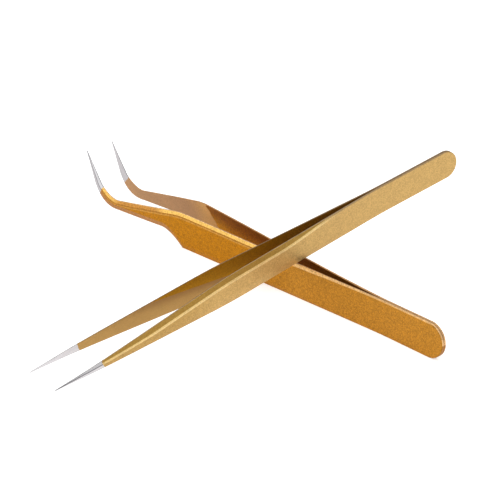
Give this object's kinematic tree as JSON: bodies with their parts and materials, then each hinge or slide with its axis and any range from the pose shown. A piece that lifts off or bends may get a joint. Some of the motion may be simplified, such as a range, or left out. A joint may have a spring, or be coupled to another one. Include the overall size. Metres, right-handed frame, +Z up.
{
  "type": "stamp tongs set",
  "caption": "Two pairs of sprung steel stamp tongs with needle points, one straight and one with upturned points, each squeezing shut, laid crossed.",
  "frame": {"origin": "middle of the set's footprint, on the surface that it lies on", "axes": "+Z up; the curved pair's heel is at +X -Y and its points at -X +Y; the straight pair's heel is at +X +Y and its points at -X -Y"},
  "size_m": [0.114, 0.1174, 0.0285],
  "materials": {
    "straight_coating": "satin metallic coating, pale gold with fine flake",
    "curved_coating": "satin metallic coating, deep orange gold with fine flake",
    "bare_steel": "ground bare stainless steel"
  },
  "bodies": {
    "curved_heel": {"curved_near_shank": "curved_coating", "curved_far_shank": "curved_coating", "curved_rear_weld": "bare_steel", "curved_front_weld": "bare_steel"},
    "curved_near_arm": {"curved_near_blade": "curved_coating"},
    "curved_far_arm": {"curved_far_blade": "curved_coating"},
    "straight_heel": {"straight_near_shank": "straight_coating", "straight_far_shank": "straight_coating", "straight_rear_weld": "bare_steel", "straight_front_weld": "bare_steel"},
    "straight_near_arm": {"straight_near_blade": "straight_coating"},
    "straight_far_arm": {"straight_far_blade": "straight_coating"}
  },
  "joints": [
    {"name": "curved_near_squeeze", "type": "hinge", "parent": "curved_heel", "child": "curved_near_arm", "pos_m": [0.03184, -0.02531, 0.00506], "axis": [0, 0, -1], "range_deg": [0, 2.35], "stiffness_Nm_per_rad": 1.4},
    {"name": "curved_far_squeeze", "type": "hinge", "parent": "curved_heel", "child": "curved_far_arm", "pos_m": [0.03275, -0.02446, 0.00506], "axis": [0, 0, 1], "range_deg": [0, 2.35], "stiffness_Nm_per_rad": 1.4},
    {"name": "straight_near_squeeze", "type": "hinge", "parent": "straight_heel", "child": "straight_near_arm", "pos_m": [0.03237, 0.00902, 0.01962], "axis": [0.145, 0.1073, -0.9836], "range_deg": [0, 3.05], "stiffness_Nm_per_rad": 0.64},
    {"name": "straight_far_squeeze", "type": "hinge", "parent": "straight_heel", "child": "straight_far_arm", "pos_m": [0.03171, 0.00991, 0.01962], "axis": [-0.145, -0.1073, 0.9836], "range_deg": [0, 3.05], "stiffness_Nm_per_rad": 0.64},
    {"name": "straight_lift", "type": "slide", "parent": "curved_heel", "child": "straight_heel", "axis": [0, 0, 1], "range_m": [0, 0.06]}
  ],
  "couplings": [
    {"joint": "curved_far_squeeze", "follows": "curved_near_squeeze", "ratio": 1},
    {"joint": "straight_far_squeeze", "follows": "straight_near_squeeze", "ratio": 1}
  ]
}
